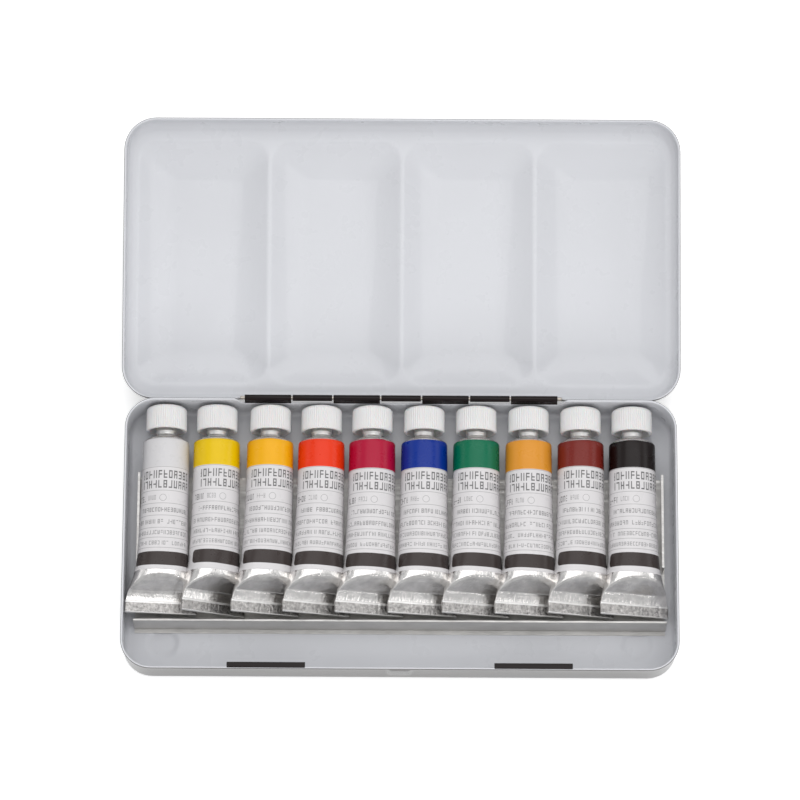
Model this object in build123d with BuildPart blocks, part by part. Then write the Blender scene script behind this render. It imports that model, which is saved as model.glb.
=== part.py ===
"""Tin box for gouache paints: a pressed tray and a hinged mixing lid, a loose
sheet rack and ten crimped aluminium tubes with ribbed screw caps.

Millimetres. X runs along the hinge, +Y to the back, +Z up. The box lies open on
its four pressed feet, with the origin on the ground below the middle of its plan.
"""

import os
from math import cos, pi, radians, sin

from build123d import *

os.makedirs("parts", exist_ok=True)

# ---------------------------------------------------------------- sheet metal
sheet = 0.5  # tinplate of tray and lid
hem_fold = 0.5  # how far the folded edge stands out from the wall
hem_height = 2.0
hem_round = 0.45
wall_reach = hem_fold + sheet  # a hem's outside to its wall's inside
tolerance = 0.01

# ----------------------------------------------------------------------- tray
tray_width = 237.0  # over the hem
tray_length = 119.0
tray_height = 20.2  # rim above the underside of the floor
tray_corner = 13.0
tray_bend = 2.5  # outer radius from floor to wall
foot_height = 0.8
foot_radius = 7.3
foot_flat = 5.0
foot_spacing = 203.0  # centre to centre along X
foot_inset = 15.5  # from the hem to a foot's centre
tab_length = 33.2  # two flanges turned in at the front rim
tab_depth = 2.0
tab_spacing = 113.2
snap_width = 10.5  # bead that the closed lid snaps over
snap_height = 3.4
snap_depth = 0.8
snap_drop = 0.5  # from the rim to the bead
snap_taper = 20.0

# ------------------------------------------------------------------------ lid
lid_width = 240.8  # over the hem
lid_length = 122.4
lid_depth = 11.0  # rim to the outside of the panel
lid_corner = 14.0
lid_bend = 4.0
lid_overlap = 3.0  # how far the closed lid reaches down over the tray
lid_back_gap = 0.5  # from the closed lid's back wall to the tray's hem
lid_opening = 169.5  # degrees from closed to the open stop
wells = 4  # mixing wells pressed in a row
well_pitch = 57.7
well_ridge = 1.2  # land between two wells
well_length = 105.2
well_depth = 5.2
well_floor_width = 24.0
well_floor_length = 73.0
well_floor_shift = 1.0  # the floor sits nearer the hinge
well_corner = 8.0
well_floor_corner = 2.4
well_crest_round = 2.5
well_floor_round = 8.0
well_back_margin = 7.6  # from the hem on the hinge side to the wells

# ---------------------------------------------------------------------- hinge
pin_radius = 0.8
pin_clearance = 0.05
pin_proud = 2.0  # past the last knuckle at each end
pin_chamfer = 0.27
tray_knuckle = 20.0  # length of each tray knuckle, of four
lid_knuckle = 17.0  # length of each lid knuckle, of three
lid_knuckles = 3
knuckle_gap = 0.6
hinge_offset = 0.85  # axis behind the tray's hem
notch_slope = 3.8  # run of the sloping ends of the tray's notch
notch_clearance = 0.85  # between a knuckle and the notched wall
notch_cut = 3 * wall_reach
tongue_foot = 1.0  # how far a knuckle's tongue reaches into the wall
lid_notch_end = 0.7  # room past the pin's ends

# ----------------------------------------------------------------------- rack
rack_sheet = 0.5
rack_length = 227.0  # along X
rack_front = 23.3  # from the tray's front hem to the rack's inner front face
rack_depth = 65.1  # inner front face to the back edge
rack_wall = 12.4
rack_fold = 0.3  # gap inside the folded front wall
rack_splay = 0.8
rack_flange = 2.2
end_tab_length = 41.0
end_tab_height = 9.2
end_tab_lip = 1.0

# ---------------------------------------------------------------------- tubes
tube_radius = 9.85
tube_gap = 0.15  # under a tube, over the rack's floor
tube_inset = 2.2  # crimp behind the rack's inner front face
crimp_length = 5.6
crimp_thickness = 1.5
wedge_middle = 12.0  # distances along a tube from its crimped end
wedge_end = 18.4
flat_end = 36.0
round_start = 46.0
crimp_slack = 0.1  # by which the crimp is narrower than half the girth
wedge_middle_share = 0.885  # half widths, as shares of half the flat girth
wedge_end_share = 0.74
flat_end_share = 0.675
squash_power = 0.6
squash_facets = 28
shoulder_start = 75.0
shoulder_length = 3.0
neck_radius = 4.3
neck_length = 9.0
mouth_radius = 2.6
mouth_depth = 6.0
neck_bare = 2.6  # neck that shows between shoulder and cap

# ----------------------------------------------------------------------- caps
cap_radius = 8.75
cap_length = 10.4
cap_ribs = 36
cap_rib_depth = 0.35
cap_wall = 1.1
cap_skirt = 2.5
cap_top = 1.6
cap_crown = 0.8
cap_chamfer = 0.7
cap_thread_clearance = 0.35

# One entry per tube: where its axis lies along X, and how far it has rolled,
# in degrees, with the left edge of its crimp up.
tube_places = [
    (-101.0, 11),
    (-79.2, 33),
    (-56.2, 23),
    (-34.2, 24),
    (-12.3, 20),
    (10.1, 18),
    (32.5, 21),
    (55.0, 17),
    (77.4, 24),
    (99.5, 19),
]

# ------------------------------------------------------------- derived places
lid_rise = sin(radians(180 - lid_opening))
lid_run = cos(radians(180 - lid_opening))
lid_back = hinge_offset - lid_back_gap - wall_reach
lid_reach = lid_back + lid_length
back_reach = (
    (lid_reach - hem_fold - lid_bend) * lid_run + (lid_depth - lid_bend) * lid_rise + lid_bend
)
snap_proud = snap_depth - hem_fold
tray_front = snap_proud - (snap_proud + tray_length + hinge_offset + back_reach) / 2
tray_middle = tray_front + tray_length / 2
tray_back = tray_front + tray_length

rim_level = foot_height + tray_height
floor_level = foot_height + sheet
hinge_y = tray_back + hinge_offset
hinge_z = rim_level - lid_overlap
bore_radius = pin_radius + pin_clearance
knuckle_radius = bore_radius + sheet
notch_drop = knuckle_radius + notch_clearance
hinge_length = (
    (lid_knuckles + 1) * tray_knuckle + lid_knuckles * lid_knuckle + 2 * lid_knuckles * knuckle_gap
)

tray_rim = Plane((0, tray_middle, rim_level))
tray_hinge = Plane((0, hinge_y, hinge_z))
lid_hinge = Plane((0, hinge_y, hinge_z), x_dir=(1, 0, 0), z_dir=(0, -lid_rise, lid_run))
lid_middle = lid_back + lid_length / 2
well_middle = lid_back + well_back_margin + well_length / 2

rack_top = floor_level + rack_sheet
rack_inner_front = tray_front + rack_front
tube_start = rack_inner_front + tube_inset
tube_axis_z = rack_top + tube_gap + tube_radius
cap_start = shoulder_start + shoulder_length + neck_bare


# -------------------------------------------------------------------- helpers
def edges_at(frame, level, solid):
    """The solid's edges that lie in the plane parallel to frame at that level."""

    def flat(edge):
        ends = [edge @ 0, edge @ 0.5, edge @ 1]
        return all(abs(frame.to_local_coords(p).Z - level) < tolerance for p in ends)

    return solid.edges().filter_by(flat)


def drawn_block(frame, middle, width, length, corner, depth, bend):
    """A round-cornered block below frame, with its far edge rounded."""
    with BuildSketch(frame) as outline:
        with Locations((0, middle)):
            RectangleRounded(width, length, corner)
    block = extrude(outline.sketch, amount=-depth, mode=Mode.PRIVATE)
    return block.fillet(bend, edges_at(frame, -depth, block))


def pressed_pan(frame, middle, width, length, corner, depth, bend):
    """Press an open pan below frame: walls and floor of one sheet, hem not yet on."""
    for inset, press in ((hem_fold, Mode.ADD), (wall_reach, Mode.SUBTRACT)):
        wall = inset - hem_fold
        size = (width - 2 * inset, length - 2 * inset, corner - inset)
        add(drawn_block(frame, middle, *size, depth - wall, bend - wall), mode=press)


def well_block(frame, x):
    """The shape that presses one mixing well down from frame."""
    with BuildSketch(frame) as mouth:
        with Locations((x, well_middle)):
            RectangleRounded(well_pitch - well_ridge, well_length, well_corner)
    with BuildSketch(frame.offset(-well_depth)) as floor:
        with Locations((x, well_middle - well_floor_shift)):
            RectangleRounded(well_floor_width, well_floor_length, well_floor_corner)
    block = loft([mouth.sketch, floor.sketch], ruled=True, mode=Mode.PRIVATE)
    return block.fillet(well_floor_round, edges_at(frame, -well_depth, block))


def folded_hem(frame, middle, width, length, corner):
    """Fold the sheet outward over the rim, and round the fold."""
    inner = (width - 2 * wall_reach, length - 2 * wall_reach, corner - wall_reach)
    with BuildSketch(frame) as fold:
        with Locations((0, middle)):
            RectangleRounded(width, length, corner)
            RectangleRounded(*inner, mode=Mode.SUBTRACT)
    hem = extrude(fold.sketch, amount=-hem_height, mode=Mode.PRIVATE)
    add(hem.fillet(hem_round, edges_at(frame, 0, hem)))


def hinge_section(frame, x):
    """Plane across the hinge at x: its own X runs away from the tray's front."""
    origin = frame.origin + frame.x_dir * x
    return Plane(origin, x_dir=frame.y_dir, z_dir=frame.x_dir)


def knuckle(frame, x, length, wall_face):
    """Curl one tongue of a wall round the hinge axis, from x on.

    wall_face is where the wall's far side lies, behind the axis.
    """
    elbow = -notch_drop
    foot = elbow - tongue_foot
    with BuildSketch(hinge_section(frame, x)) as curl:
        with BuildLine():
            Polyline(
                (wall_face, foot),
                (wall_face + sheet, foot),
                (wall_face + sheet, elbow),
                (-bore_radius, -bore_radius),
                (-bore_radius, 0),
                (-knuckle_radius, 0),
                (-knuckle_radius, -bore_radius),
                (wall_face, elbow),
                close=True,
            )
        make_face()
        Circle(knuckle_radius)
    extrude(curl.sketch, amount=length)
    with BuildSketch(hinge_section(frame, x)) as bore:
        Circle(bore_radius)
    extrude(bore.sketch, amount=length, mode=Mode.SUBTRACT)


def export(node, name):
    """Label one finished piece and write it."""
    node.part.label = name
    export_step(node.part, f"parts/{name}.step")


knuckle_step = tray_knuckle + lid_knuckle + 2 * knuckle_gap
tray_knuckle_places = [-hinge_length / 2 + i * knuckle_step for i in range(lid_knuckles + 1)]
lid_knuckle_places = [x + tray_knuckle + knuckle_gap for x in tray_knuckle_places[:-1]]

# ------------------------------------------------------------------------ tray
with BuildPart() as tray:
    pressed_pan(tray_rim, 0, tray_width, tray_length, tray_corner, tray_height, tray_bend)
    foot_centres = GridLocations(foot_spacing, tray_length - 2 * foot_inset, 2, 2)
    foot_places = [(p.X, p.Y + tray_middle) for p in (loc.position for loc in foot_centres)]
    with Locations([(x, y, foot_height / 2) for x, y in foot_places]):
        Cone(foot_flat, foot_radius, foot_height)
    with Locations([(x, y, foot_height / 2 + sheet) for x, y in foot_places]):
        Cone(foot_flat, foot_radius, foot_height, mode=Mode.SUBTRACT)
    folded_hem(tray_rim, 0, tray_width, tray_length, tray_corner)

    # two flanges turned in from the front rim
    with BuildSketch(Plane.XY.offset(rim_level)):
        with Locations((0, tray_front + wall_reach + tab_depth / 2)):
            with GridLocations(tab_spacing, 0, 2, 1):
                Rectangle(tab_length, tab_depth)
    extrude(amount=-sheet)

    # snap bead pressed out of the front wall
    snap_level = rim_level - snap_drop - snap_height / 2
    snap_wall = Plane((0, tray_front + hem_fold, snap_level), (1, 0, 0), (0, -1, 0))
    with BuildSketch(snap_wall):
        SlotOverall(snap_width, snap_height)
    extrude(amount=snap_depth, taper=snap_taper)
    with BuildSketch(snap_wall.offset(-sheet)):
        SlotOverall(snap_width - sheet, snap_height - sheet)
    extrude(amount=snap_depth, taper=snap_taper, mode=Mode.SUBTRACT)

    # the back wall is cut down for the hinge
    half_notch = hinge_length / 2 + knuckle_gap
    notch_floor = hinge_z - notch_drop
    with BuildSketch(Plane.XZ.offset(-tray_back - hem_fold)):
        with BuildLine():
            Polyline(
                (-half_notch - notch_slope, rim_level + sheet),
                (-half_notch - notch_slope, rim_level),
                (-half_notch, notch_floor),
                (half_notch, notch_floor),
                (half_notch + notch_slope, rim_level),
                (half_notch + notch_slope, rim_level + sheet),
                close=True,
            )
        make_face()
    extrude(amount=notch_cut, mode=Mode.SUBTRACT)
    for place in tray_knuckle_places:
        knuckle(tray_hinge, place, tray_knuckle, -hinge_offset - wall_reach)
export(tray, "tray")

# ------------------------------------------------------------------------- lid
with BuildPart() as lid:
    pressed_pan(lid_hinge, lid_middle, lid_width, lid_length, lid_corner, lid_depth, lid_bend)
    well_slots = [(i - (wells - 1) / 2) * well_pitch for i in range(wells)]
    for x in well_slots:
        add(well_block(lid_hinge.offset(-lid_depth), x))
    for x in well_slots:
        add(well_block(lid_hinge.offset(sheet - lid_depth), x), mode=Mode.SUBTRACT)
    crests = edges_at(lid_hinge, sheet - lid_depth, lid.part).filter_by(
        lambda edge: abs(edge.center().X) < wells * well_pitch / 2
        and abs(lid_hinge.to_local_coords(edge.center()).Y - well_middle)
        < well_length / 2 + tolerance
    )
    fillet(crests, well_crest_round)
    folded_hem(lid_hinge, lid_middle, lid_width, lid_length, lid_corner)

    # room for the tray's knuckles and the pin
    lid_notch = hinge_length + 2 * (pin_proud + lid_notch_end)
    with BuildSketch(lid_hinge.offset(sheet)):
        with Locations((0, lid_back + hem_fold)):
            Rectangle(lid_notch, 2 * wall_reach)
    extrude(amount=-notch_drop - sheet, mode=Mode.SUBTRACT)
    for place in lid_knuckle_places:
        knuckle(lid_hinge, place, lid_knuckle, lid_back + hem_fold)
export(lid, "lid")

# ------------------------------------------------------------------- hinge pin
with BuildPart() as hinge_pin:
    pin_length = hinge_length + 2 * pin_proud
    with BuildSketch(hinge_section(tray_hinge, -pin_length / 2)):
        Circle(pin_radius)
    extrude(amount=pin_length)
    chamfer(hinge_pin.edges().filter_by(GeomType.CIRCLE), pin_chamfer)
export(hinge_pin, "hinge_pin")

# ------------------------------------------------------------------- tube rack
with BuildPart() as tube_rack:
    # floor, folded front wall and foot flange, bent from one sheet
    inner_bend = rack_inner_front - rack_sheet
    fold_top = floor_level + rack_wall
    with BuildSketch(Plane.YZ.offset(-rack_length / 2)):
        with BuildLine():
            bends = Polyline(
                (rack_inner_front + rack_depth, floor_level),
                (inner_bend, floor_level),
                (inner_bend, fold_top - rack_sheet),
                (inner_bend - rack_fold, fold_top - rack_sheet),
                (inner_bend - rack_fold - rack_splay, floor_level),
                (inner_bend - rack_fold - rack_splay - rack_flange, floor_level),
            )
            offset(bends, amount=rack_sheet, side=Side.RIGHT)
        make_face()
    extrude(amount=rack_length)

    # turned-up ends beside the first and last tubes
    tab_x = rack_length / 2 - rack_sheet
    with BuildSketch(Plane.XZ.offset(-rack_inner_front - rack_depth)):
        with BuildLine():
            end_bends = Polyline(
                (tab_x - end_tab_lip, floor_level),
                (tab_x, floor_level),
                (tab_x, floor_level + end_tab_height),
                (tab_x - end_tab_lip, floor_level + end_tab_height),
            )
            offset(end_bends, amount=rack_sheet, side=Side.LEFT)
        make_face()
        mirror(about=Plane.YZ)
    extrude(amount=end_tab_length)
export(tube_rack, "tube_rack")


# --------------------------------------------------------------- tubes and caps
def tube_frame(x, roll):
    """Plane at a tube's crimped end: its Z runs along the tube towards the cap."""
    across = (cos(radians(roll)), 0, -sin(radians(roll)))
    return Plane((x, tube_start, tube_axis_z), x_dir=across, z_dir=(0, 1, 0))


def squashed_section(half_width):
    """Outline of a squashed tube that keeps its girth, from its half width."""
    share = (flat_half - half_width) / (flat_half - tube_radius)
    half_height = tube_radius * share**squash_power
    turns = [2 * pi * i / squash_facets for i in range(squash_facets)]
    return [(half_width * cos(turn), half_height * sin(turn)) for turn in turns]


flat_half = pi * tube_radius / 2
crimp_half = flat_half - crimp_slack
wedge_widths = [
    (crimp_length, crimp_half),
    (wedge_middle, wedge_middle_share * flat_half),
    (wedge_end, wedge_end_share * flat_half),
    (flat_end, flat_end_share * flat_half),
    (round_start, tube_radius),
]

for number, (x, roll) in enumerate(tube_places, start=1):
    frame = tube_frame(x, roll)
    with BuildPart() as tube:
        with BuildSketch(frame):
            Rectangle(2 * flat_half, crimp_thickness)
        extrude(amount=crimp_length)
        for distance, half_width in wedge_widths:
            with BuildSketch(frame.offset(distance)):
                Polygon(*squashed_section(half_width), align=None)
        loft(ruled=True)
        with BuildSketch(frame.offset(round_start)):
            Circle(tube_radius)
        extrude(amount=shoulder_start - round_start)
        with BuildSketch(frame.offset(shoulder_start)):
            Circle(tube_radius)
        with BuildSketch(frame.offset(shoulder_start + shoulder_length)):
            Circle(neck_radius)
        loft()
        neck_foot = frame.offset(shoulder_start + shoulder_length)
        with BuildSketch(neck_foot):
            Circle(neck_radius)
        extrude(amount=neck_length)
        with BuildSketch(neck_foot.offset(neck_length)):
            Circle(mouth_radius)
        extrude(amount=-mouth_depth, mode=Mode.SUBTRACT)
    export(tube, f"tube_{number}")

    with BuildPart() as cap:
        rib_step = pi / cap_ribs
        radii = (cap_radius, cap_radius - cap_rib_depth)
        outline = [
            (radii[i % 2] * cos(i * rib_step), radii[i % 2] * sin(i * rib_step))
            for i in range(2 * cap_ribs)
        ]
        with BuildSketch(frame.offset(cap_start)):
            with BuildLine():
                Polyline(*outline, close=True)
            make_face()
        extrude(amount=cap_length - cap_crown)
        with BuildSketch(frame.offset(cap_start + cap_length - cap_crown)):
            Circle(cap_radius - cap_rib_depth)
        extrude(amount=cap_crown)
        chamfer(cap.faces().sort_by(Axis.Y)[-1].edges(), cap_chamfer)
        with BuildSketch(frame.offset(cap_start)):
            Circle(cap_radius - cap_rib_depth - cap_wall)
        extrude(amount=cap_skirt, mode=Mode.SUBTRACT)
        with BuildSketch(frame.offset(cap_start)):
            Circle(neck_radius + cap_thread_clearance)
        extrude(amount=cap_length - cap_top, mode=Mode.SUBTRACT)
    export(cap, f"cap_{number}")
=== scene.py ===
"""Looks for the gouache tin: pressed enamel pans, crimped tubes with printed sleeves,
ribbed caps, light and camera. Shapes are worked out in millimetres and written in metres."""

from math import cos, pi, radians, sin

import bmesh
import bpy
import numpy as np
from mathutils import Matrix, Vector


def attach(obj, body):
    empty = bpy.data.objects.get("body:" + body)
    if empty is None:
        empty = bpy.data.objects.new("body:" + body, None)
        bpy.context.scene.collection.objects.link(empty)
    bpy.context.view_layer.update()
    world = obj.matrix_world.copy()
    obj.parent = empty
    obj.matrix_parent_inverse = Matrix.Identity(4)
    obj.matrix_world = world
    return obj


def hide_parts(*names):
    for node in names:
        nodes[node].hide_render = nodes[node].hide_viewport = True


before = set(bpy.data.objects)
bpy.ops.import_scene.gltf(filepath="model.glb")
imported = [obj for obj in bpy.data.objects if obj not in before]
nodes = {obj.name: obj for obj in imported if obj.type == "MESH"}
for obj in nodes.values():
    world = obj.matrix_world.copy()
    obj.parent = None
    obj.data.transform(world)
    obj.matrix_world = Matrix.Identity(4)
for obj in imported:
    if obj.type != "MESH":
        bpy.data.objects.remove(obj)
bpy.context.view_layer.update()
MM = 0.001

# ---------------------------------------------------------------- sizes, in mm
SHEET = 0.5
HEM_FOLD = 0.5
HEM_HEIGHT = 2.0
WALL_REACH = HEM_FOLD + SHEET
HEM_EDGE = 0.15

SQUARE_ON = 0.999  # how straight a rim's point faces the front or back to count as there

TRAY = dict(half_w=118.5, half_l=59.5, middle=-60.556, corner=13.0, depth=20.2, bend=2.5)
RIM_Z = 21.0
FOOT_HEIGHT = 0.8
FOOT_RADII = (5.0, 7.3)
FOOT_PLACES = [(sx * 101.5, sy * 44.0) for sx in (-1, 1) for sy in (-1, 1)]
FOOT_SOFTENING = 0.4
TAB_LENGTH = 33.2
TAB_OUTER, TAB_INNER = 0.35, 2.95
TAB_X = 56.6
TAB_THICKNESS, TAB_ROUND = 0.62, 0.12
# the snap bead's width, height, depth, drop below the rim and taper at its ends
SNAP = (10.5, 3.4, 0.8, 0.5)
SNAP_TAPER = 1.4

LID = dict(half_w=120.4, half_l=61.2, middle=60.55, corner=14.0, depth=11.0, bend=4.0)
LID_TILT = radians(10.5)
WELL_PITCH = 57.7
WELL_MIDDLE = 59.55
# half width, half length and corner radius of a well at its mouth and at its floor
WELL_MOUTH = (28.25, 52.6, 8.0)
WELL_FLOOR = (12.0, 36.5, 2.4)
WELL_SHIFT = -1.0
WELL_DEPTH = 5.2
WELL_EASE = 0.07
WELL_HOLLOW = 1.75
LID_RIPPLE, RIPPLE_SIZE = 0.03, 45

HINGE_Y, HINGE_Z = -0.206, 18.0
BORE, CURL = 0.85, 1.35
NOTCH_DROP = 2.2
TRAY_NOTCH_RAMP = 3.8
LID_NOTCH_PAST = 2.7
KNUCKLE_STEP = 38.2
HINGE_START = -67.3
TRAY_KNUCKLE, LID_KNUCKLE, KNUCKLE_GAP = 20.0, 17.0, 0.6
KNUCKLE_EDGE = 0.12
TRAY_WALL_FROM_PIN, LID_WALL_FROM_PIN = -1.6, 0.1

TUBE_START = -94.556
TUBE_AXIS = 11.8
TUBE_RADIUS = 9.85
CRIMP_LENGTH, CRIMP_THICKNESS, CRIMP_ROUND = 5.6, 1.5, 0.55
CRIMP_MARKS = 34
LABEL_START, LABEL_END = 17.7, 74.9
LABEL_PROUD, LABEL_SUNK = 0.08, -0.12
SHOULDER_START = 75.0
NECK_RADIUS, NECK_END = 4.3, 87.0
MOUTH_RADIUS, MOUTH_DEPTH = 2.6, 6.0
CAP_START, CAP_LENGTH, CAP_RADIUS = 80.6, 10.4, 8.75
CAP_RIBS, RIB_DEPTH = 54, 0.33
CAP_BORE, CAP_SKIRT = 4.65, 7.1

# x of the axis, roll, how far the crimp leans aside, how far the print sits towards the
# crimp, and the paint's colour (display values)
TUBES = [
    (-101.0, 11, -1.2, 0.3, (0.870, 0.862, 0.866)),
    (-79.2, 33, -0.8, -0.6, (0.950, 0.790, 0.000)),
    (-56.2, 23, -1.8, -0.7, (0.990, 0.720, 0.060)),
    (-34.2, 24, -2.0, 0.0, (0.960, 0.230, 0.060)),
    (-12.3, 20, -1.2, 0.6, (0.720, 0.040, 0.220)),
    (10.1, 18, -0.8, 0.3, (0.020, 0.190, 0.580)),
    (32.5, 21, -0.4, 0.2, (0.000, 0.445, 0.310)),
    (55.0, 17, 0.0, 0.7, (0.910, 0.610, 0.200)),
    (77.4, 24, -0.5, -0.7, (0.490, 0.150, 0.120)),
    (99.5, 19, 0.4, -0.3, (0.090, 0.050, 0.045)),
]

# the print on a sleeve: v runs from the crimp, u round the tube from its top
PRINT_UNIT = 100.0
BAND_EDGE = 63.0
PRINT_ROWS = [
    # low, high, from u, to u, pitch, darkness
    (57.8, 61.3, -12.4, 10.5, 2.25, 0.96),
    (53.5, 56.9, -12.6, 10.5, 2.25, 0.96),
    (47.9, 50.5, -15.6, -10.6, 1.6, 0.9),
    (48.3, 50.4, -9.2, -5.0, 1.0, 0.55),
    (43.0, 44.9, -12.8, 10.0, 1.35, 0.8),
    (37.8, 39.7, -16.0, 10.0, 1.35, 0.75),
    (33.1, 34.9, -16.0, 10.0, 1.30, 0.72),
    (28.6, 30.3, -16.0, 10.0, 1.25, 0.72),
]
SHARED_ROWS = 2
RULES = (62.8, 52.4, 46.8, 41.5, 36.1, 31.8, 27.4)
RULE_HALF = 0.10
RING_U, RING_V, RING_RADII = -2.1, 49.2, (1.35, 1.5)
PLATE_V, PLATE_CORE, PLATE_ROUND = 22.8, (13.6, 1.1), 1.8


def linear(colour):
    """Display colour to the linear colour that shaders take."""
    return tuple(
        c / 12.92 if c <= 0.04045 else ((c + 0.055) / 1.055) ** 2.4 for c in colour
    )


# -------------------------------------------------------------------- meshes
def make(name, points, faces, materials, body, replaced=(), slot=None, index=None):
    """Write one closed piece of the object, riding on a body."""
    mesh = bpy.data.meshes.new(name)
    mesh.from_pydata((np.asarray(points) * MM).tolist(), [], faces)
    for material in materials:
        mesh.materials.append(material)
    if index is not None:
        mesh.polygons.foreach_set("material_index", index)
    mesh.polygons.foreach_set("use_smooth", [True] * len(mesh.polygons))
    mesh.update()
    piece = bpy.data.objects.new(name, mesh)
    bpy.context.scene.collection.objects.link(piece)
    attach(piece, body)
    if replaced:
        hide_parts(*replaced)
    return piece


def quads(start_a, start_b, count):
    """Quads between two closed rows of points that start at the given numbers."""
    return [
        (start_a + i, start_a + (i + 1) % count, start_b + (i + 1) % count, start_b + i)
        for i in range(count)
    ]


def tube_faces(rows, count):
    """Quads over a stack of closed rows, with a lid on the first and on the last."""
    faces = []
    for k in range(rows - 1):
        faces += quads(k * count, (k + 1) * count, count)
    faces.append(tuple(range(count))[::-1])
    faces.append(tuple(range((rows - 1) * count, rows * count)))
    return faces


def smooth_step(a, b, x):
    t = np.clip((x - a) / (b - a), 0, 1)
    return t * t * (3 - 2 * t)


def waves(x, y, seed, count=7, size=30.0):
    """Slow random undulation, about one unit high, that is the same every run."""
    rng = np.random.default_rng(seed)
    total = np.zeros(np.broadcast(x, y).shape)
    for _ in range(count):
        turn = rng.uniform(0, 2 * pi)
        length = size * rng.uniform(0.6, 1.7)
        total = total + np.sin(
            2 * pi * (x * cos(turn) + y * sin(turn)) / length + rng.uniform(0, 2 * pi)
        )
    return total / count**0.5


def pan(name, size, place, top, under, profile, body, materials, **options):
    """A pressed pan: its panel as two height fields, joined by rings over the wall and hem.

    size gives the pan, place turns local points into the scene's, top and under give the
    panel's two faces, and profile turns each ring's offset and level by where it is.
    """
    inner_bend = size["bend"] - SHEET
    core = WALL_REACH + inner_bend
    half_w, half_l = size["half_w"] - core, size["half_l"] - core
    corner = size["corner"] - core
    turn = np.linspace(0, pi / 2, 13)[1:]
    straight = np.linspace(-(half_l - corner), half_l - corner, 150)
    upper = half_l - corner + corner * np.sin(turn)
    rows = np.concatenate([-upper[::-1], straight, upper])
    past = np.maximum(np.abs(rows) - (half_l - corner), 0)
    reach = half_w - corner + np.sqrt(np.maximum(corner**2 - past**2, 0))
    across = np.linspace(-1, 1, 301)
    x = across[None, :] * reach[:, None]
    y = np.repeat(rows[:, None], len(across), 1)
    ny, nx = x.shape
    top_grid = np.stack([x, y, top(x, y)], -1).reshape(-1, 3)
    under_grid = np.stack([x, y, under(x, y)], -1).reshape(-1, 3)
    number = np.arange(nx * ny).reshape(ny, nx)
    loop = np.concatenate(
        [number[0], number[1:-1, -1], number[-1, ::-1], number[-2:0:-1, 0]]
    )
    outline = top_grid[loop][:, :2]
    beyond = np.stack(
        [
            np.clip(np.abs(outline[:, 0]) - (half_w - corner), 0, None) * np.sign(outline[:, 0]),
            np.clip(np.abs(outline[:, 1]) - (half_l - corner), 0, None) * np.sign(outline[:, 1]),
        ],
        -1,
    )
    outward = beyond / np.linalg.norm(beyond, axis=1)[:, None]

    depth, bend = size["depth"], size["bend"]
    arc = np.linspace(0, pi / 2, 9)
    inside = [(inner_bend * sin(a), SHEET - depth + inner_bend * (1 - cos(a))) for a in arc[1:]]
    wall = np.linspace(SHEET - depth + inner_bend, -WALL_REACH / 2, 12)[1:]
    inside += [(inner_bend, z) for z in wall]
    fold = np.linspace(0, pi, 13)
    middle = inner_bend + WALL_REACH / 2
    inside += [
        (middle - WALL_REACH / 2 * cos(a), WALL_REACH / 2 * (sin(a) - 1)) for a in fold[1:9]
    ]
    outside = [
        (middle - WALL_REACH / 2 * cos(a), WALL_REACH / 2 * (sin(a) - 1)) for a in fold[9:]
    ]
    hem_face = inner_bend + WALL_REACH
    outside += [(hem_face, z) for z in (-0.9, -1.3, -1.7, HEM_EDGE - HEM_HEIGHT)]
    outside += [(hem_face - HEM_EDGE, -HEM_HEIGHT), (bend + 0.1, -HEM_HEIGHT)]
    outside += [(bend, z) for z in (-HEM_HEIGHT - HEM_EDGE, -2.7, -3.2, -3.7, -4.2)]
    outside += [(bend, -depth + bend + k) for k in (2.0, 0.0)]
    outside += [(bend * sin(a), -depth + bend * (1 - cos(a))) for a in arc[-2:0:-1]]
    rings = []
    for offset, level in inside + outside:
        offsets, levels = profile(outline, outward, offset, level)
        at = outline + outward * offsets[:, None]
        rings.append(np.column_stack([at, levels]))
    points = np.concatenate([top_grid, *rings, under_grid])
    faces = []
    for j in range(ny - 1):
        for i in range(nx - 1):
            a = j * nx + i
            faces.append((a, a + 1, a + nx + 1, a + nx))
    index = [0] * len(faces)
    size_loop = len(loop)
    base = nx * ny
    first = [(int(loop[i]), int(loop[(i + 1) % size_loop])) for i in range(size_loop)]
    for i, (a, b) in enumerate(first):
        faces.append((b, a, base + i, base + (i + 1) % size_loop))
    index += [0] * size_loop
    for k in range(len(rings) - 1):
        a, b = base + k * size_loop, base + (k + 1) * size_loop
        faces += [(q[1], q[0], q[3], q[2]) for q in quads(a, b, size_loop)]
        index += [0 if k < len(inside) - 1 else 1] * size_loop
    last = base + (len(rings) - 1) * size_loop
    bottom = base + len(rings) * size_loop
    for i, (a, b) in enumerate(first):
        faces.append((last + (i + 1) % size_loop, last + i, bottom + a, bottom + b))
    index += [1] * size_loop
    count = len(faces)
    for j in range(ny - 1):
        for i in range(nx - 1):
            a = bottom + j * nx + i
            faces.append((a, a + nx, a + nx + 1, a + 1))
    index += [1] * (len(faces) - count)
    make(name, place(points), faces, materials, body, index=index, **options)


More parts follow.
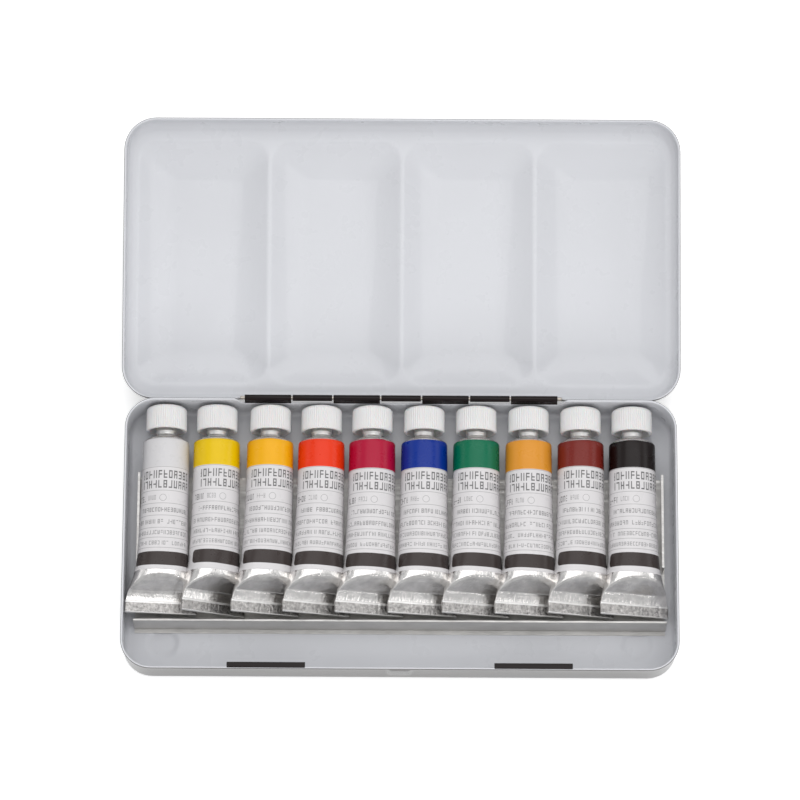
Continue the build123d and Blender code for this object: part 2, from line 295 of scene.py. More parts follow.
# ----------------------------------------------------------------- materials
class Shader:
    """A material being wired: short names for its nodes and links."""

    def __init__(self, name):
        self.material = bpy.data.materials.new(name)
        self.material.use_nodes = True
        self.tree = self.material.node_tree
        self.out = self.tree.nodes["Principled BSDF"]

    def node(self, kind, **values):
        made = self.tree.nodes.new(kind)
        for key, value in values.items():
            if key in made.inputs:
                made.inputs[key].default_value = value
            else:
                setattr(made, key, value)
        return made

    def link(self, a, b):
        self.tree.links.new(a, b)

    def set(self, **values):
        for key, value in values.items():
            self.out.inputs[key.replace("_", " ")].default_value = value

    def math(self, operation, a, b=None):
        made = self.tree.nodes.new("ShaderNodeMath")
        made.operation = operation
        for socket, value in zip(made.inputs, (a, b)):
            if value is None:
                continue
            if hasattr(value, "is_output"):
                self.link(value, socket)
            else:
                socket.default_value = value
        return made.outputs[0]

    def noise(self, source, scale, detail=3.0, rough=0.55, stretch=None):
        """Noise over an object's own coordinates, in cells per metre."""
        if stretch:
            scaled = self.node("ShaderNodeMapping")
            scaled.inputs["Scale"].default_value = stretch
            self.link(source, scaled.inputs["Vector"])
            source = scaled.outputs["Vector"]
        made = self.node("ShaderNodeTexNoise", Scale=scale, Detail=detail, Roughness=rough)
        self.link(source, made.inputs["Vector"])
        return made.outputs["Fac"]

    def coordinates(self):
        return self.node("ShaderNodeTexCoord").outputs["Object"]

    def ramp(self, factor, low, high, a, b):
        made = self.node("ShaderNodeMapRange")
        for key, value in zip(("From Min", "From Max", "To Min", "To Max"), (low, high, a, b)):
            made.inputs[key].default_value = value
        self.link(factor, made.inputs["Value"])
        return made.outputs["Result"]

    def mix(self, factor, a, b):
        made = self.tree.nodes.new("ShaderNodeMix")
        made.data_type = "RGBA"
        for socket, value in zip((made.inputs[0], made.inputs[6], made.inputs[7]), (factor, a, b)):
            if hasattr(value, "is_output"):
                self.link(value, socket)
            elif isinstance(value, (int, float)):
                socket.default_value = value
            else:
                socket.default_value = (*value, 1)
        return made.outputs[2]

    def bump(self, height, strength, distance):
        made = self.node("ShaderNodeBump", Strength=strength, Distance=distance)
        self.link(height, made.inputs["Height"])
        self.link(made.outputs["Normal"], self.out.inputs["Normal"])


def enamel(name, colour, rough, shine=0.3, coat=0.5, index=1.5):
    """Stoved enamel under a clear gloss, faintly uneven."""
    s = Shader(name)
    at = s.coordinates()
    tone = s.ramp(s.noise(at, 14, 2), 0.35, 0.65, 0, 1)
    darker = tuple(c * 0.965 for c in colour)
    s.link(s.mix(tone, darker, colour), s.out.inputs["Base Color"])
    dull = s.ramp(s.noise(at, 90, 3), 0.3, 0.7, rough * 0.8, rough * 1.25)
    s.link(dull, s.out.inputs["Roughness"])
    s.set(IOR=index, Specular_IOR_Level=shine)
    s.set(Coat_Weight=coat, Coat_Roughness=0.03, Coat_IOR=index)
    s.bump(s.noise(at, 420, 2), 0.05, 0.0004)
    return s.material


def metal(name, colour, rough, grain, stretch, strength, patches=60, dullest=0.86):
    """Bare metal with a brushed grain and duller patches."""
    s = Shader(name)
    at = s.coordinates()
    fine = s.noise(at, grain, 4, 0.6, stretch)
    broad = s.noise(at, patches, 2)
    dull = tuple(c * dullest for c in colour)
    s.link(s.mix(s.ramp(broad, 0.35, 0.7, 0, 1), colour, dull), s.out.inputs["Base Color"])
    s.link(s.ramp(fine, 0.3, 0.7, rough * 0.75, rough * 1.35), s.out.inputs["Roughness"])
    s.set(Metallic=1.0)
    s.bump(fine, strength, 0.0004)
    return s.material


def plastic(name, colour, rough):
    """Moulded plastic that lets a little light in."""
    s = Shader(name)
    at = s.coordinates()
    tone = s.noise(at, 120, 3)
    shade = tuple(c * 0.97 for c in colour)
    s.link(s.mix(s.ramp(tone, 0.4, 0.6, 0, 1), shade, colour), s.out.inputs["Base Color"])
    s.link(s.ramp(tone, 0.3, 0.7, rough * 0.9, rough * 1.1), s.out.inputs["Roughness"])
    s.set(Subsurface_Weight=0.12, Subsurface_Scale=0.001, Specular_IOR_Level=0.45)
    s.bump(s.noise(at, 1500, 2), 0.05, 0.0002)
    return s.material


white_enamel = enamel("white_enamel", (0.620, 0.625, 0.652), 0.30)
black_gloss = enamel("black_gloss", (0.030, 0.020, 0.017), 0.10, shine=0.5, coat=1.0, index=1.8)
black_fold = enamel("black_fold", (0.010, 0.006, 0.006), 0.20, shine=0.22, coat=0.0)
tin = metal("rack_tin", (0.70, 0.685, 0.665), 0.46, 260, (1, 6, 6), 0.08)
foil = metal("tube_foil", (0.93, 0.905, 0.885), 0.20, 300, (3, 1, 3), 0.40, 260, 0.80)
# a lighter, rougher copy of the tube's metal: the rougher finish is the bare metal's own, the
# lighter colour is a painted highlight on the neck, the shoulder and the crimp's folds
highlight_metal = metal("tube_highlight_metal", (0.95, 0.935, 0.92), 0.45, 300, (1, 1, 1), 0.15)
crimp_metal = metal("tube_crimp", (0.55, 0.53, 0.515), 0.30, 900, (1, 1, 1), 0.8, 800, 0.50)
wire = metal("hinge_wire", (0.60, 0.55, 0.49), 0.30, 400, (1, 8, 8), 0.1)
cap_white = plastic("cap_white", (0.735, 0.725, 0.72), 0.42)


def label_material(name, paint, seed):
    """Printed sleeve: film with rules, rows of strokes, a ring, a dark plate and a colour band.

    seed sets which strokes are drawn in the rows that differ from tube to tube.
    """
    s = Shader(name)
    uv = s.node("ShaderNodeUVMap")
    split = s.node("ShaderNodeSeparateXYZ")
    s.link(uv.outputs[0], split.inputs[0])
    u = s.math("MULTIPLY", split.outputs[0], PRINT_UNIT)
    v = s.math("MULTIPLY", split.outputs[1], PRINT_UNIT)

    def span(value, low, high, soft=0.06):
        rise = s.ramp(value, low - soft, low + soft, 0, 1)
        fall = s.ramp(value, high - soft, high + soft, 1, 0)
        return s.math("MULTIPLY", rise, fall)

    def length(a, b):
        return s.math("SQRT", s.math("ADD", s.math("POWER", a, 2), s.math("POWER", b, 2)))

    def strokes(low, high, left, right, pitch, start):
        """A row of square-cut strokes, each drawn or left out by chance, that spells nothing."""
        placed = s.math("DIVIDE", u, pitch)
        cell, x = s.math("FLOOR", placed), s.math("FRACT", placed)
        y = s.math("DIVIDE", s.math("SUBTRACT", v, low), high - low)

        def kept(stroke, share):
            draw = s.node("ShaderNodeTexWhiteNoise")
            draw.noise_dimensions = "1D"
            s.link(s.math("ADD", cell, start + stroke * 31.7), draw.inputs["W"])
            return s.math("LESS_THAN", draw.outputs["Value"], share)

        marks = s.math("MULTIPLY", span(x, 0.08, 0.26, 0.04), kept(0, 0.8))
        second = s.math("MULTIPLY", span(x, 0.58, 0.76, 0.04), kept(1, 0.6))
        marks = s.math("MAXIMUM", marks, second)
        for stroke, (foot, head) in enumerate(((0.83, 1.0), (0.41, 0.57), (0.0, 0.17)), start=2):
            bar = s.math("MULTIPLY", span(y, foot, head, 0.03), span(x, 0.08, 0.76, 0.04))
            marks = s.math("MAXIMUM", marks, s.math("MULTIPLY", bar, kept(stroke, 0.55)))
        row = s.math("MULTIPLY", span(v, low, high), span(u, left, right))
        return s.math("MULTIPLY", marks, row)

    ink = None
    for number, (low, high, left, right, pitch, dark) in enumerate(PRINT_ROWS):
        start = number * 7.3 + (0 if number < SHARED_ROWS else seed * 57.1)
        drawn = s.math("MULTIPLY", strokes(low, high, left, right, pitch, start), dark)
        ink = drawn if ink is None else s.math("MAXIMUM", ink, drawn)
    for level in RULES:
        line = s.math("MULTIPLY", span(v, level - RULE_HALF, level + RULE_HALF, 0.05), 0.55)
        ink = s.math("MAXIMUM", ink, line)
    radius = length(s.math("SUBTRACT", u, RING_U), s.math("SUBTRACT", v, RING_V))
    ink = s.math("MAXIMUM", ink, s.math("MULTIPLY", span(radius, *RING_RADII), 0.7))
    over_u = s.math("MAXIMUM", s.math("SUBTRACT", s.math("ABSOLUTE", u), PLATE_CORE[0]), 0.0)
    from_middle = s.math("ABSOLUTE", s.math("SUBTRACT", v, PLATE_V))
    over_v = s.math("MAXIMUM", s.math("SUBTRACT", from_middle, PLATE_CORE[1]), 0.0)
    dark_plate = s.ramp(length(over_u, over_v), PLATE_ROUND, PLATE_ROUND + 0.1, 1, 0)
    band = s.ramp(v, BAND_EDGE, BAND_EDGE + 0.16, 0, 1)

    at = s.coordinates()
    paper = s.mix(s.noise(at, 60, 2), (0.645, 0.625, 0.630), (0.675, 0.655, 0.660))
    inked = s.mix(ink, paper, (0.10, 0.10, 0.10))
    plated = s.mix(dark_plate, inked, (0.045, 0.035, 0.033))
    tint = tuple(c * 0.86 for c in linear(paint))
    tinted = s.mix(s.noise(at, 80, 2), tuple(c * 0.93 for c in tint), tint)
    s.link(s.mix(band, plated, tinted), s.out.inputs["Base Color"])
    s.link(s.ramp(s.noise(at, 200, 2), 0.3, 0.7, 0.24, 0.36), s.out.inputs["Roughness"])
    s.set(Specular_IOR_Level=0.3)
    s.bump(s.noise(at, 500, 2), 0.06, 0.0003)
    return s.material


# ---------------------------------------------------------------- tray and lid
def tray_place(points):
    return points + np.array([0, TRAY["middle"], RIM_Z])


def about_hinge(x, y, z, tilt):
    """Points measured from the hinge's axis, turned about it and set in the scene."""
    c, s = cos(tilt), sin(tilt)
    return np.column_stack([x, HINGE_Y + y * c - z * s, HINGE_Z + y * s + z * c])


def lid_place(points):
    return about_hinge(points[:, 0], points[:, 1] + LID["middle"], points[:, 2], LID_TILT)


def foot_drop(x, y):
    drop = np.zeros_like(x)
    for fx, fy in FOOT_PLACES:
        away = np.hypot(x - fx, y - fy)
        low, high = FOOT_RADII[0] - FOOT_SOFTENING, FOOT_RADII[1] + FOOT_SOFTENING
        drop = np.maximum(drop, 1 - smooth_step(low, high, away))
    return drop * FOOT_HEIGHT


def tray_top(x, y):
    return SHEET - TRAY["depth"] - foot_drop(x, y)


def tray_under(x, y):
    return -TRAY["depth"] - foot_drop(x, y)


def tray_profile(outline, outward, offset, level):
    """Cut the back wall down for the hinge, and press the snap bead out of the front."""
    wall = TRAY["bend"]
    back = outward[:, 1] > SQUARE_ON
    half_notch = -HINGE_START + KNUCKLE_GAP
    cut = RIM_Z - (HINGE_Z - NOTCH_DROP)
    share = (half_notch + TRAY_NOTCH_RAMP - np.abs(outline[:, 0])) / TRAY_NOTCH_RAMP
    share = np.clip(share, 0, 1)
    limit = np.where(back, -cut * share, 0)
    levels = np.minimum(np.full(len(outline), level), limit)
    offsets = np.where(limit < -HEM_HEIGHT, np.minimum(offset, wall), offset)
    width, height, depth, drop = SNAP
    front = outward[:, 1] < -SQUARE_ON
    if offset >= wall - 0.01:
        ends = np.clip((width / 2 - np.abs(outline[:, 0])) / SNAP_TAPER, 0, 1)
        sides = np.clip(1 - np.abs(level + drop + height / 2) / (height / 2), 0, 1) ** 0.4
        bead = wall + depth * np.sqrt(ends) * sides
        offsets = np.where(front, np.maximum(offsets, bead), offsets)
    return offsets, levels


def lid_profile(outline, outward, offset, level):
    """Cut the lid's back wall down between its hinge knuckles."""
    wall = LID["bend"]
    back = outward[:, 1] < -SQUARE_ON
    inside = back & (np.abs(outline[:, 0]) < -HINGE_START + LID_NOTCH_PAST)
    limit = np.where(inside, -NOTCH_DROP, 0)
    levels = np.minimum(np.full(len(outline), level), limit)
    offsets = np.where(limit < -HEM_HEIGHT, np.minimum(offset, wall), offset)
    return offsets, levels


def well_drop(x, y):
    """How far the four wells are pressed below the panel, 0 on the ridges to 1 on the floors."""
    number = np.clip(np.round(x / WELL_PITCH + 1.5), 0, 3)
    across = np.abs(x - (number - 1.5) * WELL_PITCH)
    along = y + LID["middle"] - WELL_MIDDLE
    low, high = np.full(x.shape, -0.3), np.full(x.shape, 1.0)
    for _ in range(26):
        s = (low + high) / 2
        half_w, half_l, corner = (
            m + (f - m) * s for m, f in zip(WELL_MOUTH, WELL_FLOOR)
        )
        qx = across - half_w + corner
        qy = np.abs(along - WELL_SHIFT * s) - half_l + corner
        away = (
            np.hypot(np.maximum(qx, 0), np.maximum(qy, 0))
            + np.minimum(np.maximum(qx, qy), 0)
            - corner
        )
        low, high = np.where(away < 0, s, low), np.where(away < 0, high, s)
    s = (low + high) / 2
    eased = np.where(s > WELL_EASE, s, np.maximum(s + WELL_EASE, 0) ** 2 / (4 * WELL_EASE))
    return 1 - (1 - np.clip(eased, 0, 1)) ** WELL_HOLLOW


def lid_ripple(x, y):
    return LID_RIPPLE * waves(x, y, 3, size=RIPPLE_SIZE)


def lid_top(x, y):
    return SHEET - LID["depth"] - WELL_DEPTH * well_drop(x, y) + lid_ripple(x, y)


def lid_under(x, y):
    return -LID["depth"] - WELL_DEPTH * well_drop(x, y) + lid_ripple(x, y)


pan("tray_shell", TRAY, tray_place, tray_top, tray_under, tray_profile, "tray",
    [white_enamel, black_gloss], replaced=["tray"], slot="tray_enamel")
pan("lid_shell", LID, lid_place, lid_top, lid_under, lid_profile, "lid",
    [white_enamel, black_gloss], replaced=["lid"], slot="lid_enamel")


def plate(name, low, high, round_by, material, body):
    """A small flat plate with rounded edges."""
    mesh = bpy.data.meshes.new(name)
    piece = bpy.data.objects.new(name, mesh)
    bm = bmesh.new()
    bmesh.ops.create_cube(bm, size=1)
    for vert in bm.verts:
        for k in range(3):
            vert.co[k] = (low[k] if vert.co[k] < 0 else high[k]) * MM
    bmesh.ops.bevel(
        bm, geom=bm.edges[:], offset=round_by * MM, segments=3, affect="EDGES", profile=0.5
    )
    bm.to_mesh(mesh)
    bm.free()
    mesh.materials.append(material)
    mesh.polygons.foreach_set("use_smooth", [True] * len(mesh.polygons))
    bpy.context.scene.collection.objects.link(piece)
    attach(piece, body)


tray_front = TRAY["middle"] - TRAY["half_l"]
for side, x in (("left", -TAB_X), ("right", TAB_X)):
    plate(
        f"front_tab_{side}",
        (x - TAB_LENGTH / 2, tray_front + TAB_OUTER, RIM_Z - TAB_THICKNESS),
        (x + TAB_LENGTH / 2, tray_front + TAB_INNER, RIM_Z),
        TAB_ROUND, black_fold, "tray",
    )


# --------------------------------------------------------------------- hinge
def curl_section(wall_middle):
    """Section of one knuckle: up from the wall, and round the pin."""
    radius = (BORE + CURL) / 2
    path = [(wall_middle, -NOTCH_DROP - 1.0), (wall_middle, -NOTCH_DROP)]
    path.append(((wall_middle - radius) / 2 - 0.1, -1.35))
    turns = np.radians(np.linspace(195, -95, 26))
    path += [(radius * cos(a), radius * sin(a)) for a in turns]
    return np.array(path)


def knuckle(name, start, length, wall_middle, tilt, body, slot):
    """One tongue of a back wall, curled round the pin and rounded at its two ends."""
    path = curl_section(wall_middle)
    along = np.gradient(path, axis=0)
    along /= np.linalg.norm(along, axis=1)[:, None]
    normal = np.column_stack([-along[:, 1], along[:, 0]])
    left, right = path + normal * SHEET / 2, path - normal * SHEET / 2
    ring = np.concatenate([left, right[::-1]])
    count = len(ring)
    slices = [
        # along the pin, how much of the thickness is kept
        (0.0, 0.75), (KNUCKLE_EDGE, 1.0), (length - KNUCKLE_EDGE, 1.0), (length, 0.75),
    ]
    points = []
    for x, keep in slices:
        centre = np.concatenate([path, path[::-1]])
        section = centre + (ring - centre) * keep
        points.append(np.column_stack([np.full(count, start + x), section]))
    faces = []
    for k in range(len(slices) - 1):
        faces += quads(k * count, (k + 1) * count, count)
    half = len(path)
    for k in (0, len(slices) - 1):
        for i in range(half - 1):
            a, b = k * count + i, k * count + count - 1 - i
            face = (a, a + 1, b - 1, b)
            faces.append(face if k else face[::-1])
    world = about_hinge(*np.concatenate(points).T, tilt)
    make(name, world, faces, [black_fold], body, slot=slot)


for i in range(4):
    knuckle(f"tray_knuckle_{i + 1}", HINGE_START + i * KNUCKLE_STEP, TRAY_KNUCKLE,
            TRAY_WALL_FROM_PIN, 0.0, "tray", "tray_enamel")
for i in range(3):
    start = HINGE_START + i * KNUCKLE_STEP + TRAY_KNUCKLE + KNUCKLE_GAP
    knuckle(f"lid_knuckle_{i + 1}", start, LID_KNUCKLE,
            LID_WALL_FROM_PIN, LID_TILT, "lid", "lid_enamel")


# ---------------------------------------------------------------------- tubes
def tube_place(x, roll):
    """Turns points given as (across, up, along the tube) into the scene's."""
    c, s = cos(radians(roll)), sin(radians(roll))

    def place(points):
        across, up, along = points[:, 0], points[:, 1], points[:, 2]
        return np.column_stack(
            [x + across * c + up * s, TUBE_START + along, TUBE_AXIS - across * s + up * c]
        )

    return place


FLAT = pi * TUBE_RADIUS / 2  # half the width of the crimp, where the tube is pressed flat
# how a tube's section changes from its crimp to its shoulder: half its width and height,
# how square its corners are, and the height of the slanting facet that cuts its top off
STATIONS = np.array([4.6, 8.5, 12.0, 16.0, 20.0, 24.0, 36.0, 48.0, 75.0])
WIDTHS = np.array([15.3, 14.6, 13.5, 12.3, 11.4, 10.9, 10.45, 10.15, 9.85])
HEIGHTS = np.array([7.6, 7.8, 8.1, 8.3, 8.5, 8.8, 9.25, 9.55, 9.85])
SQUARES = np.array([2.5, 2.5, 2.5, 2.5, 2.4, 2.3, 2.1, 2.0, 2.0])
FACET = np.array([
    # along, height
    (4.6, 0.45), (5.8, 0.5), (7.0, 0.7), (8.5, 1.1), (9.5, 1.5), (10.4, 2.6), (11.5, 3.9),
    (13.0, 5.7), (14.2, 7.0), (15.2, 8.1), (16.2, 9.1), (17.4, 10.2), (80.0, 40.0),
])
FACET_SOFTENING = 0.9
DENT = 0.13
LEAN_FROM, LEAN_SCALE = -30.0, 0.9
AROUND = 120


def tube_section(along, seed, grow=0.0):
    """Points round a squashed tube as (across, up), from its right side over the top.

    Near the crimp a slanting facet cuts the top off, and the underside the same way.
    """
    width = np.interp(along, STATIONS, WIDTHS)
    height = np.interp(along, STATIONS, HEIGHTS)
    square = np.interp(along, STATIONS, SQUARES)
    facet = np.interp(along, FACET[:, 0], FACET[:, 1])
    turn = 2 * pi * np.arange(AROUND // 2) / AROUND
    across = width * np.sign(np.cos(turn)) * np.abs(np.cos(turn)) ** (2 / square)
    up = height * np.sin(turn) ** (2 / square)
    facet = facet * (1 - 0.05 * (across / width) ** 2)
    soft = np.minimum(FACET_SOFTENING, facet)
    near = np.maximum(soft - np.abs(up - facet), 0) / soft
    up = np.minimum(up, facet) - near**2 * soft / 4
    loose = smooth_step(6.0, 9.0, along) * (1 - 0.85 * smooth_step(18, 34, along))
    dents = DENT * loose * waves(across, np.full_like(across, along), seed, 8, 12.0)
    up = up + dents * np.clip(up / 3.0, 0, 1)
    across = np.concatenate([across, -across])
    up = np.concatenate([up, -up])
    if grow:
        outward = np.column_stack([across / width**2, up / height**2])
        outward /= np.linalg.norm(outward, axis=1)[:, None]
        across, up = across + grow * outward[:, 0], up + grow * outward[:, 1]
    return across, up


def leaned(across, along, lean):
    """Shift a tube's section aside, none at the shoulder and most at the crimp."""
    return across + lean * (1 - smooth_step(LEAN_FROM, SHOULDER_START, along)) / LEAN_SCALE


def tube_body(number, place, lean):
    """The aluminium tube from the crimp to the neck's mouth, as one closed skin."""
    stations = np.concatenate(
        [np.linspace(4.6, 18.4, 44), np.linspace(19.2, 40, 22), np.linspace(44, SHOULDER_START, 12)]
    )
    rings = []
    for along in stations:
        across, up = tube_section(along, number)
        rings.append(np.column_stack([leaned(across, along, lean), up, np.full(AROUND, along)]))
    turns = np.arctan2(up, across)
    shoulder = [
        # radius, past the shoulder's start
        (9.80, 0.3), (9.45, 0.75), (8.6, 1.4), (6.9, 2.15), (5.4, 2.7), (4.6, 3.05),
        (4.15, 3.4), (4.05, 4.0), (4.2, 4.6), (4.45, 5.0), (4.45, 5.5), (4.3, 5.8),
    ]
    end = [(radius, SHOULDER_START + along) for radius, along in shoulder]
    end += [(NECK_RADIUS, NECK_END), (MOUTH_RADIUS, NECK_END)]
    end += [(MOUTH_RADIUS, NECK_END - MOUTH_DEPTH)]
    for radius, along in end:
        across, up = radius * np.cos(turns), radius * np.sin(turns)
        rings.append(np.column_stack([across, up, np.full(AROUND, along)]))
    faces = tube_faces(len(rings), AROUND)
    index = np.zeros(len(faces), int)
    # from the shoulder on, the lighter metal paints the highlight that the neck and shoulder catch
    index[(len(stations) + 2) * AROUND:] = 1
    make(f"tube_skin_{number}", place(np.concatenate(rings)), faces, [foil, highlight_metal],
         f"tube_{number}", replaced=[f"tube_{number}"], slot="tube_metal", index=index)


def crimp(number, place, lean):
    """The folded end: a flat strip with rounded folds and the marks of the crimping tool."""
    rng = np.random.default_rng(number + 40)
    columns = np.linspace(-FLAT, FLAT, 121)
    round_by = CRIMP_ROUND
    half = CRIMP_THICKNESS / 2
    middle = CRIMP_LENGTH / 2
    loop = []
    for k in range(4):
        cy = CRIMP_LENGTH - round_by if k in (0, 3) else round_by
        cz = half - round_by if k in (0, 1) else round_by - half
        for a in np.radians(np.linspace(90 * k, 90 * k + 90, 5)):
            loop.append((cy + round_by * cos(a), cz + round_by * sin(a)))
        if k in (0, 2):
            sign = 1 if k == 0 else -1
            span = np.linspace(CRIMP_LENGTH - round_by, round_by, 9)[1:-1]
            loop += [(y if k == 0 else CRIMP_LENGTH - y, sign * half) for y in span]
    loop = np.array(loop)
    marks = np.zeros(len(columns))
    for _ in range(CRIMP_MARKS):
        centre = rng.uniform(-FLAT, FLAT)
        wide = rng.uniform(0.18, 0.5)
        marks += rng.uniform(-0.06, 0.035) * np.exp(-(((columns - centre) / wide) ** 2))
    from_middle = loop[:, 0] - middle
    flat = np.clip(1 - np.abs(from_middle) / middle, 0, 1) ** 0.35
    rings = []
    for x, mark in zip(columns, marks):
        near_end = min(1.0, (FLAT - abs(x)) / 0.4)
        keep = 0.55 + 0.45 * near_end**0.5
        up = loop[:, 1] * keep + np.sign(loop[:, 1]) * mark * flat * keep
        along = middle + from_middle * (0.94 + 0.06 * near_end)
        rings.append(np.column_stack([leaned(np.full(len(loop), x), along, lean), up, along]))
    faces = tube_faces(len(rings), len(loop))
    # the rounded folds take the lighter metal: a painted highlight along the crimp's edges, next to
    # the darker crimp faces
    folded = np.abs(from_middle) > middle - round_by * 1.05
    index = np.zeros(len(faces), int)
    index[:-2] = np.tile(folded, len(rings) - 1)
    make(f"tube_crimp_{number}", place(np.concatenate(rings)), faces,
         [crimp_metal, highlight_metal], f"tube_{number}", slot="tube_metal", index=index)


def sleeve(number, place, paint, lean, shift):
    """The printed film round the tube, as a thin closed skin with its own map."""
    stations = np.concatenate(
        [np.linspace(LABEL_START, 40, 32), np.linspace(42, LABEL_END, 18)]
    )
    rings, arcs = [], []
    order = [(along, LABEL_PROUD) for along in stations]
    order += [(SHOULDER_START + 0.45, LABEL_SUNK)]
    order += [(along, LABEL_SUNK) for along in stations[::-1]]
    top = AROUND // 4
    for along, grow in order:
        across, up = tube_section(along, number, grow)
        rings.append(np.column_stack([leaned(across, along, lean), up, np.full(AROUND, along)]))
        steps = np.hypot(np.diff(across, append=across[0]), np.diff(up, append=up[0]))
        arc = np.concatenate([[0], np.cumsum(steps)[:-1]])
        arc = arc[top] - arc
        whole = steps.sum()
        arcs.append((arc + whole / 2) % whole - whole / 2)
    points = np.concatenate(rings)
    arcs = np.concatenate(arcs)
    faces = []
    for k in range(len(rings)):
        faces += quads(k * AROUND, (k + 1) % len(rings) * AROUND, AROUND)
    printed = label_material(f"label_{number}", paint, number)
    piece = make(f"tube_label_{number}", place(points), faces, [printed], f"tube_{number}",
                 slot="tube_label")
    layer = piece.data.uv_layers.new(name="print")
    values = np.empty((len(piece.data.loops), 2))
    corner = np.empty(len(piece.data.loops), int)
    piece.data.loops.foreach_get("vertex_index", corner)
    values[:, 0] = arcs[corner] / PRINT_UNIT
    values[:, 1] = (points[corner, 2] + shift) / PRINT_UNIT
    per_face = values.reshape(-1, 4, 2)
    wrapped = (per_face[:, :, 0].max(1) - per_face[:, :, 0].min(1)) > 0.3
    low = per_face[:, :, 0] < 0
    per_face[:, :, 0] += np.where(wrapped[:, None] & low, 2 * pi * TUBE_RADIUS / PRINT_UNIT, 0)
    layer.data.foreach_set("uv", per_face.reshape(-1))


def cap(number, place):
    """Ribbed screw cap with a rounded crown, an open skirt and a bore for the neck."""
    count = CAP_RIBS * 6
    angles = np.linspace(0, 2 * pi, count, endpoint=False)
    rib = (0.5 + 0.5 * np.cos(CAP_RIBS * angles)) ** 0.8
    top = CAP_START + CAP_LENGTH
    skirt_floor = CAP_START + 2.5
    profile = [
        # radius, along, how deep the ribs are cut
        (CAP_BORE, top - 1.6, 0), (CAP_BORE, skirt_floor, 0), (CAP_SKIRT, skirt_floor, 0),
        (7.2, CAP_START + 0.2, 0), (7.4, CAP_START, 0), (8.35, CAP_START, 0),
        (8.5, CAP_START + 0.15, 0.1), (CAP_RADIUS - 0.02, CAP_START + 0.5, RIB_DEPTH),
        (CAP_RADIUS - 0.02, CAP_START + 3.0, RIB_DEPTH),
        (CAP_RADIUS - 0.03, CAP_START + 6.0, RIB_DEPTH),
        (CAP_RADIUS - 0.05, top - 1.5, RIB_DEPTH), (CAP_RADIUS - 0.12, top - 1.1, 0.3),
        (8.35, top - 0.72, 0.12), (8.05, top - 0.35, 0.0), (7.6, top - 0.1, 0), (7.1, top, 0),
        (4.0, top, 0), (1.0, top, 0),
    ]
    rings = []
    for radius, along, depth in profile:
        r = radius - depth * (1 - rib)
        across, up = r * np.cos(angles), r * np.sin(angles)
        rings.append(np.column_stack([across, up, np.full(count, along)]))
    faces = tube_faces(len(rings), count)
    make(f"ribbed_cap_{number}", place(np.concatenate(rings)), faces, [cap_white],
         f"cap_{number}", replaced=[f"cap_{number}"], slot="cap_plastic")


for number, (x, roll, lean, shift, paint) in enumerate(TUBES, start=1):
    place = tube_place(x, roll)
    tube_body(number, place, lean)
    crimp(number, place, lean)
    sleeve(number, place, paint, lean, shift)
    cap(number, place)

for name, material in (("tube_rack", tin), ("hinge_pin", wire)):
    nodes[name].data.materials.clear()
    nodes[name].data.materials.append(material)

# ---------------------------------------------------------- floor, light, camera
FLOOR_GLOW = 0.45  # seen by the camera only, so that the floor shows white
FLOOR_REACH = 4.0  # metres
s = Shader("floor_white")
s.set(Roughness=0.9, Specular_IOR_Level=0.1)
grain = s.noise(s.coordinates(), 30, 2)
s.link(s.mix(grain, (0.89, 0.89, 0.89), (0.91, 0.91, 0.91)), s.out.inputs["Base Color"])
glow = s.node("ShaderNodeEmission", Color=(1, 1, 1, 1))
path = s.node("ShaderNodeLightPath")
s.link(s.math("MULTIPLY", path.outputs["Is Camera Ray"], FLOOR_GLOW), glow.inputs["Strength"])
both = s.node("ShaderNodeAddShader")
s.link(s.out.outputs[0], both.inputs[0])
s.link(glow.outputs[0], both.inputs[1])
s.link(both.outputs[0], s.tree.nodes["Material Output"].inputs["Surface"])
corners = [(x * FLOOR_REACH, y * FLOOR_REACH, 0) for x, y in ((-1, -1), (1, -1), (1, 1), (-1, 1))]
mesh = bpy.data.meshes.new("floor")
mesh.from_pydata(corners, [], [(0, 1, 2, 3)])
mesh.materials.append(s.material)
floor = bpy.data.objects.new("floor", mesh)
bpy.context.scene.collection.objects.link(floor)

WORLD_LEVEL = 0.52  # what lights the box; the backdrop itself shows as white
world = bpy.data.worlds.new("studio")
bpy.context.scene.world = world
world.use_nodes = True
tree = world.node_tree
background = tree.nodes["Background"]
path = tree.nodes.new("ShaderNodeLightPath")
level = tree.nodes.new("ShaderNodeMapRange")
level.inputs["To Min"].default_value = WORLD_LEVEL
level.inputs["To Max"].default_value = 1.0
tree.links.new(path.outputs["Is Camera Ray"], level.inputs["Value"])
tree.links.new(level.outputs["Result"], background.inputs["Strength"])
background.inputs["Color"].default_value = (0.97, 0.985, 1.0, 1)


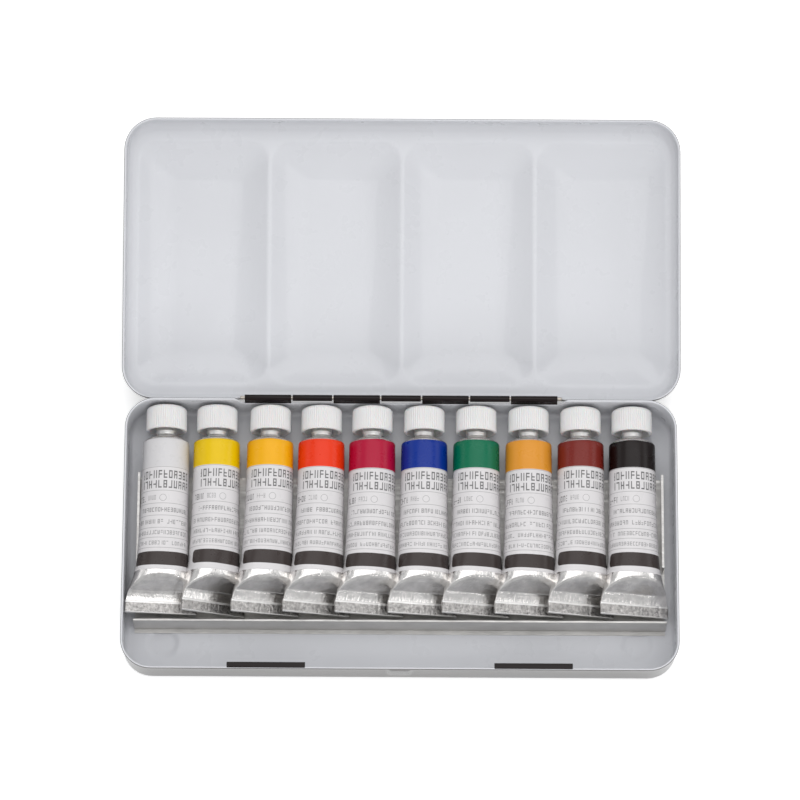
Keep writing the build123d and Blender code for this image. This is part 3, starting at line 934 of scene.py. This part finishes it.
def lamp(name, direction, distance, size, radiance):
    """A soft rectangular lamp that faces the box from a direction, as bright as it looks."""
    light = bpy.data.lights.new(name, "AREA")
    light.shape = "RECTANGLE"
    light.size, light.size_y = size
    light.energy = radiance * pi * size[0] * size[1]
    made = bpy.data.objects.new(name, light)
    bpy.context.scene.collection.objects.link(made)
    towards = Vector(direction).normalized()
    made.location = towards * distance
    made.rotation_euler = (-towards).to_track_quat("-Z", "Y").to_euler()
    return made


PANEL_AWAY, FILL_SIZE, SIDE_SIZE = 1.6, (1.7, 0.5), (1.3, 0.5)
lamp("overhead", (0.10, 0.25, 1.0), 1.25, (1.65, 1.15), 1.1)
for name, direction, radiance in (
    ("front_high", (0.05, -0.57, 0.82), 2.1),
    ("front_low", (0.05, -0.94, 0.34), 2.6),
    ("back_low", (-0.05, 0.92, 0.42), 1.3),
):
    fill = lamp(name, direction, PANEL_AWAY, FILL_SIZE, radiance)
    fill.visible_glossy = False  # these light the box without a bright line in its metal
lamp("right_panel", (0.90, 0.10, 0.38), PANEL_AWAY, SIDE_SIZE, 1.1)
lamp("left_panel", (-0.90, 0.10, 0.38), PANEL_AWAY, SIDE_SIZE, 0.6)
lamp("spark", (0.56, -0.58, 0.59), 1.5, (0.10, 0.10), 9.0)

# lens and distances in mm, angles in degrees; x, y and z are the point looked at
CAMERA = dict(
    distance=1904.95, lens=197.72, elevation=74.16, roll=0.303, x=-0.469, y=2.775, z=5.0
)
camera = bpy.data.cameras.new("camera")
camera.sensor_width = 36.0
camera.lens = CAMERA["lens"]
camera.clip_start, camera.clip_end = 0.05, 20
seat = bpy.data.objects.new("camera", camera)
bpy.context.scene.collection.objects.link(seat)
e = radians(CAMERA["elevation"])
back = Vector((0, -cos(e), sin(e)))
target = Vector((CAMERA["x"], CAMERA["y"], CAMERA["z"])) * MM
seat.location = target + back * CAMERA["distance"] * MM
aim = (-back).to_track_quat("-Z", "Y").to_matrix()
seat.rotation_euler = (aim @ Matrix.Rotation(radians(CAMERA["roll"]), 3, "Z")).to_euler()
bpy.context.scene.camera = seat
bpy.context.scene.view_settings.view_transform = "Standard"
